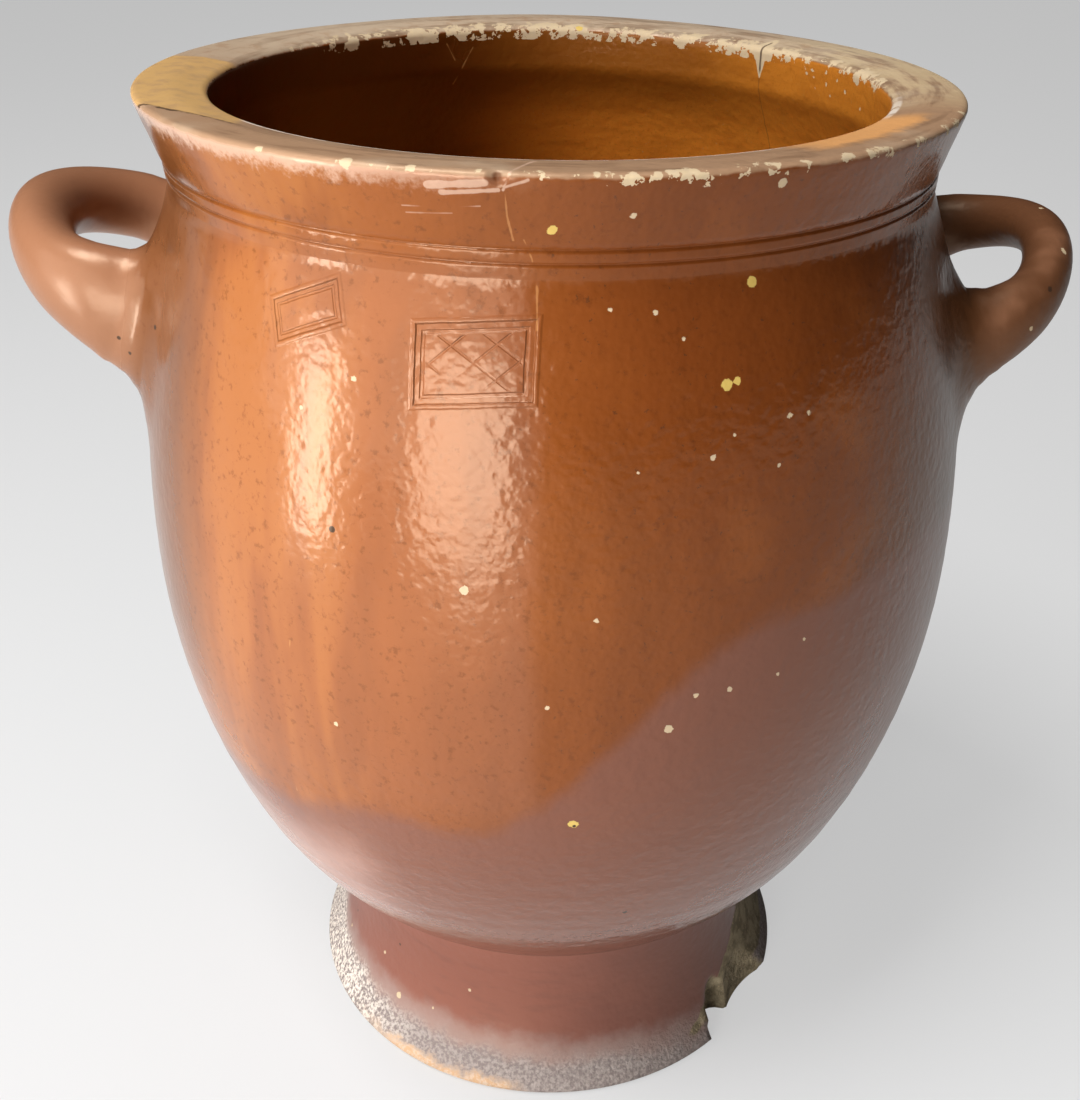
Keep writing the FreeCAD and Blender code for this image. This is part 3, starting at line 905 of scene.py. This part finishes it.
def rimChips(where):
    # Glaze broken off both edges of the rim, as a mask.
    finish = where.finish
    bites = finish.noise(where.place, 9, 4, 0.7)
    down = potForm["height"] - where.height
    innerEdge = (where.radius - potForm["mouthRadius"]).most(0) + down
    side = where.facing(75).between(0.1, 0.5)
    depth = bites.between(0.40, 0.62) * side * 9 - 1.2
    gap = notch["depth"] - abs(where.beside(notch["angle"])) * notch["slope"]
    depth = depth.most(gap * where.facing(notch["angle"]).between(0.5, 0.9))
    inner = (depth - innerEdge + (where.grain - 0.5) * 2.4).between(-0.2, 0.2) * where.radius.between(150, 149)
    outerEdge = (potForm["rimRadius"] - where.radius).most(0) + down
    side = where.facing(-52).between(0.6, 0.97) * 5 + where.facing(-110).between(0.5, 0.9) * 2.2 + 0.5
    depth = bites.between(0.48, 0.66) * side - 0.3
    outer = (depth - outerEdge + (where.grain - 0.5) * 1.4).between(-0.2, 0.2) * where.radius.between(152, 153)
    return inner.most(outer)


def ashBand(where):
    # Ash and grit fused to the base, highest on the left; and where it is thick.
    left = where.x.between(-108, -126)
    edge = where.height - left * 26 + (where.middle - 0.5) * 16 + (where.fine - 0.5) * 9
    edge = edge + where.facing(-40).between(0.8, 1) * 9
    return edge.between(34, 21), edge.between(23, 13)


def brokenFace(where):
    # Bare clay round the break, up to a ragged slanting edge.
    turn = where.y.math("ARCTAN2", where.x) * math.degrees(1)
    edge = turn + 18 + (50 - where.height) * 0.87 + (where.fine - 0.5) * 8 + (where.middle - 0.5) * 8
    face = edge.between(-0.6, 0.6) * turn.between(16, 12) * (where.height + (where.fine - 0.5) * 10).between(66, 64)
    face = face * (where.height + (where.fine - 0.5) * 9).between(10, 12)
    return where.broken.most(face * where.outside)


def skinColour(where):
    # Body, foot, handles, inside and top of the rim, and how far a point lies on the foot and on the top.
    finish, colours = where.finish, glazeColours
    colour, foot = lowerColour(where, bodyColour(where))
    # The handles' tone is partly random, and lighter to the left and darker to the right as painted light and shade
    # from the lamps on the left.
    shade = (where.middle + where.x * 0.0012).between(0.40, 0.70)
    handleToneAndShade = finish.mix(shade, colours["handle"], colours["handleDark"])
    colour = finish.mix(where.coil * 0.8, colour, handleToneAndShade)
    top = (where.height + (where.fine - 0.5) * 2).between(466.9, 468.1)
    # Pale pink band on the outer edge of the rim, on the side towards the lamps: partly wear, partly a painted
    # highlight.
    worn = (where.height + (where.fine - 0.5) * 9 + (where.grain - 0.5) * 9).between(461, 467) * where.outside
    worn = worn * where.facing(-142).between(0.6, 0.95)
    colour = finish.mix(worn * 0.7, colour, colours["rimPinkWearAndHighlight"])
    colour = finish.mix(where.inner, colour, insideColour(where))
    return finish.mix(top, colour, rimColour(where)), foot, top


def ashColour(where, colour, haze, ash):
    # Pale and grey grit, with bare clay in it at the front left.
    finish, colours = where.finish, glazeColours
    grit = finish.mix(where.grain.between(0.38, 0.62), colours["ash"], colours["ashGrey"])
    grit = finish.mix(where.x.between(-110, -60) * 0.75, grit, colours["ashGrey"])
    clay = (where.x + (where.fine - 0.5) * 26).between(-12, -26) * where.x.between(-104, -74)
    clay = clay * (where.height + (where.fine - 0.5) * 14).between(9, 4) * 0.8
    grit = finish.mix(clay, grit, finish.mix(where.grain.between(0.4, 0.6) * 0.4, colours["clay"], colours["ash"]))
    colour = finish.mix(haze * 0.42, colour, finish.mix(0.35, colours["ashGrey"], colours["ash"]))
    return finish.mix(ash, colour, grit)


def markColour(where, colour, chip):
    # Chips, pits, cracks, and the painted highlights on the folds beside the dent.
    finish, colours = where.finish, glazeColours
    colour = finish.mix(chip, colour, finish.mix(where.grain, colours["chip"], colours["rimGrey"]))
    line = notchLine(where) * where.height.between(454, 457)
    colour = finish.mix(line * 0.85, colour, colours["iron"])
    colour = finish.mix(spots(where, yellowChips, 1.3), colour, colours["chipYellow"])
    colour = finish.mix(spots(where, darkPits, 0.6), colour, colours["iron"])
    colour = finish.mix(crackLines(where) * 0.3, colour, colours["rimOrange"])
    # Painted highlights on the folds beside the dent.
    rippleHighlight, pinched = foldMarks(where)
    colour = finish.mix(rippleHighlight * 0.6, colour, colours["rimPinkWearAndHighlight"])
    return finish.mix(pinched * 0.8, colour, colours["deep"])


def glazeRelief(where):
    # Height of the skin in millimetres. It stays cheap, because the bump reads it three times.
    finish = where.finish
    matt = (where.height.between(24, 13) * where.outside).most(where.broken)
    peel = finish.noise(where.place, 4.2, 1.5, 0.5)
    swell = finish.noise(where.place, 13, 1, 0.5)
    relief = (peel * (where.x.between(-130, -40) * 0.22 + 0.12) + swell * 0.2) * (1 - matt)
    relief = relief + finish.noise(where.place, 2.4, 2, 0.6) * (0.02 + matt * 0.9)
    rings = where.height.between(99, 92) * where.height.between(82, 85) * 0.5
    relief = relief + where.turned * rings - pinchPit(where) * pinch["depth"]
    for stamp in stamps:
        relief = relief - stampRelief(where, stamp)
    return relief


def glaze():
    finish = Finish("stonewareGlaze")
    where = Where(finish)
    colours = glazeColours
    colour, foot, top = skinColour(where)
    haze, ash = (mask * where.outside for mask in ashBand(where))
    colour = ashColour(where, colour, haze, ash)
    chip = spots(where, paleChips, 1.5).most(rimChips(where))
    colour = markColour(where, colour, chip)
    face = finish.mix(where.fine.between(0.4, 0.62), colours["break"], colours["breakDark"])
    face = finish.mix(where.grain.between(0.58, 0.7) * 0.5, face, colours["chip"])
    broken = brokenFace(where)
    finish.feed(finish.shader.inputs["Base Color"], finish.mix(broken, colour, face))

    dull = chip.most(ash).most(broken)
    rough = 0.13 + where.middle * 0.08 + where.x.between(90, 170) * 0.16 + foot * where.outside * 0.22
    rough = rough + top * 0.22 + where.inner * 0.12 + where.coil * 0.12
    finish.feed(finish.shader.inputs["Roughness"], rough * (1 - dull) + dull * 0.85)
    finish.shader.inputs["Specular IOR Level"].default_value = 0.5
    finish.shader.inputs["Specular Tint"].default_value = (1, 0.76, 0.55, 1)
    bump = finish.node("Bump", {}, {"Height": glazeRelief(where) * mm, "Distance": 1.0, "Strength": 1.0})
    finish.feed(finish.shader.inputs["Normal"], bump)
    return finish.material


pot.data.materials.clear()
pot.data.materials.append(glaze())
print("glaze made")


# Floor and world: the floor's size and the height that the lamps aim at in metres.
studio = {
    "floor": (0.60, 0.60, 0.60), "floorSize": 16, "floorWhite": 0.5, "world": 0.03, "aim": 0.30,
}

# Lamps: side of the pot in degrees from the front, with the left negative, then metres and watts.
lamps = [
    {"name": "leftWindow", "angle": -59, "away": 1.1, "level": 0.26, "wide": 0.20, "tall": 0.40, "power": 3.6},
    {"name": "frontWindow", "angle": -21, "away": 1.1, "level": 0.32, "wide": 0.44, "tall": 0.46, "power": 5.4},
    {"name": "lowWindow", "angle": -19, "away": 1.1, "level": 0.03, "wide": 0.14, "tall": 0.05, "power": 0.2},
    {"name": "wideSheen", "angle": -46, "away": 1.6, "level": 0.80, "wide": 2.3, "tall": 1.3, "power": 17},
    {"name": "key", "angle": -50, "away": 0.85, "level": 2.2, "wide": 0.9, "tall": 0.9, "power": 45},
]


def addStudio():
    bm = bmesh.new()
    bmesh.ops.create_grid(bm, x_segments=1, y_segments=1, size=studio["floorSize"] / 2)
    floor = meshObject(bm, "floor")
    finish = Finish("paleFloor")
    finish.feed(finish.shader.inputs["Base Color"], (*studio["floor"], 1))
    finish.feed(finish.shader.inputs["Roughness"], 0.9)
    rays = finish.node("LightPath", {}, {})
    seen = rays.output("Is Camera Ray").most(rays.output("Is Glossy Ray")).most(rays.output("Is Transmission Ray"))
    glow = finish.node("Emission", {}, {"Color": (1, 1, 1, 1), "Strength": 1.0})
    mixed = finish.node("MixShader", {}, {0: seen * studio["floorWhite"], 1: Wire(finish, finish.shader.outputs[0]),
                                          2: glow})
    finish.tree.links.new(mixed.socket, finish.tree.nodes["Material Output"].inputs["Surface"])
    floor.data.materials.append(finish.material)
    world = bpy.data.worlds.new("World")
    world.use_nodes = True
    background = world.node_tree.nodes["Background"]
    background.inputs["Color"].default_value = (1, 1, 1, 1)
    background.inputs["Strength"].default_value = studio["world"]
    bpy.context.scene.world = world
    target = Vector((0, 0, studio["aim"]))
    for lamp in lamps:
        data = bpy.data.lights.new(lamp["name"], "AREA")
        data.shape = "RECTANGLE"
        data.size, data.size_y = lamp["wide"], lamp["tall"]
        data.energy = lamp["power"]
        angle = math.radians(lamp["angle"])
        light = bpy.data.objects.new(lamp["name"], data)
        light.location = (math.sin(angle) * lamp["away"], -math.cos(angle) * lamp["away"], lamp["level"])
        light.rotation_euler = (target - light.location).to_track_quat("-Z", "Y").to_euler()
        bpy.context.scene.collection.objects.link(light)
    bpy.context.scene.view_settings.view_transform = "Standard"


addStudio()
print("studio made")
